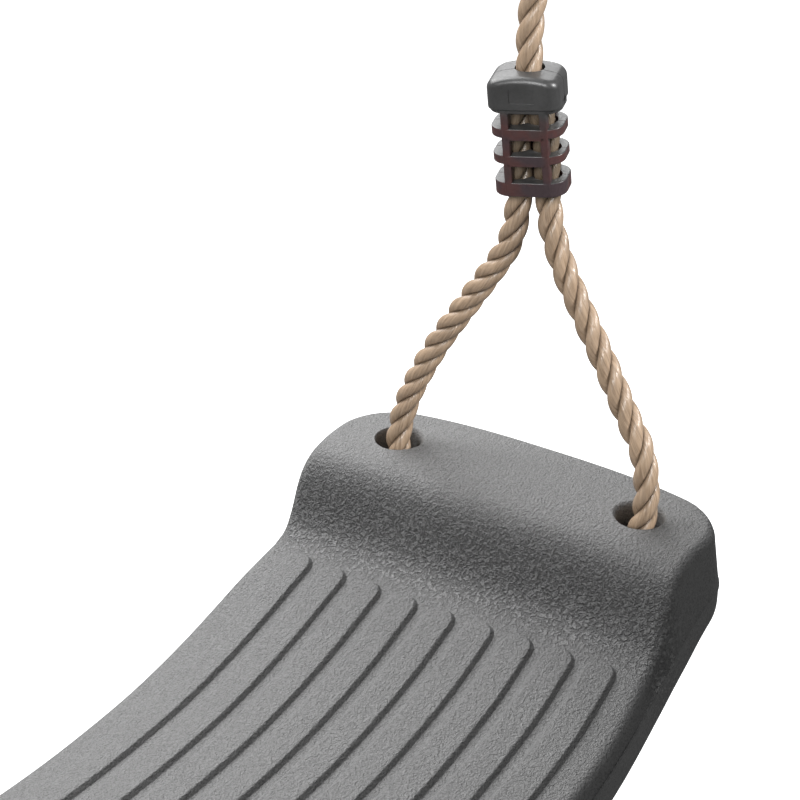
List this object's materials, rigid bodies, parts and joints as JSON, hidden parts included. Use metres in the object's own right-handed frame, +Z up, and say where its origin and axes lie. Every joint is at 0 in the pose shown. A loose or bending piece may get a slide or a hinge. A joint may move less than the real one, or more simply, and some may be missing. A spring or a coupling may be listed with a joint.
{
  "type": "moulded swing seat",
  "caption": "Dished blow-moulded swing seat on adjustable rope bridles, hung by rings from ceiling hanger plates.",
  "frame": {"origin": "midway between the top faces of the two hanger plates, on the line of the beam that the swing hangs from", "axes": "+Z up, +X along the seat and the beam, from the left rope to the right rope, +Y across the seat, in the direction of swing"},
  "size_m": [0.46, 0.179, 0.4618],
  "materials": {
    "seat_plastic": "pebble-grained moulded polyethylene",
    "rope_fibre": "three-strand laid tan polypropylene rope with a slight gloss",
    "adjuster_plastic": "dark grey injection-moulded plastic, satin to glossy",
    "fitting_plastic": "black plastic, satin",
    "zinc_steel": "zinc-plated round bar and plate"
  },
  "bodies": {
    "hangers": {"right_hanger_plate": "zinc_steel", "left_hanger_plate": "zinc_steel", "right_hanger_bow": "zinc_steel", "left_hanger_bow": "zinc_steel"},
    "ring_right": {"right_ring": "zinc_steel"},
    "ring_left": {"left_ring": "zinc_steel"},
    "rope_right": {"right_rope": "rope_fibre", "right_rope_tail_cap": "fitting_plastic", "right_ferrule": "fitting_plastic", "right_thimble": "fitting_plastic", "right_adjuster_inner": "adjuster_plastic", "right_adjuster_outer": "adjuster_plastic"},
    "rope_left": {"left_rope": "rope_fibre", "left_rope_tail_cap": "fitting_plastic", "left_ferrule": "fitting_plastic", "left_thimble": "fitting_plastic", "left_adjuster_inner": "adjuster_plastic", "left_adjuster_outer": "adjuster_plastic"},
    "seat": {"seat_shell": "seat_plastic", "seat_vent_plug": "seat_plastic"}
  },
  "joints": [
    {"name": "swing_right", "type": "hinge", "parent": "hangers", "child": "ring_right", "pos_m": [0.185, 0, -0.0268], "axis": [1, 0, 0], "range_deg": [-60, 60]},
    {"name": "sway_right", "type": "hinge", "parent": "ring_right", "child": "rope_right", "pos_m": [0.185, 0, -0.0614], "axis": [0, 1, 0], "range_deg": [-6, 6]},
    {"name": "seat_level", "type": "hinge", "parent": "rope_right", "child": "seat", "pos_m": [0.185, 0, -0.399], "axis": [0, 1, 0], "range_deg": [-6, 6]},
    {"name": "swing_left", "type": "hinge", "parent": "hangers", "child": "ring_left", "pos_m": [-0.185, 0, -0.0268], "axis": [1, 0, 0], "range_deg": [-60, 60]},
    {"name": "sway_left", "type": "hinge", "parent": "ring_left", "child": "rope_left", "pos_m": [-0.185, 0, -0.0614], "axis": [0, 1, 0], "range_deg": [-6, 6]}
  ],
  "couplings": [
    {"joint": "swing_left", "follows": "swing_right", "ratio": 1},
    {"joint": "sway_left", "follows": "sway_right", "ratio": 1},
    {"joint": "seat_level", "follows": "sway_right", "ratio": -1}
  ]
}
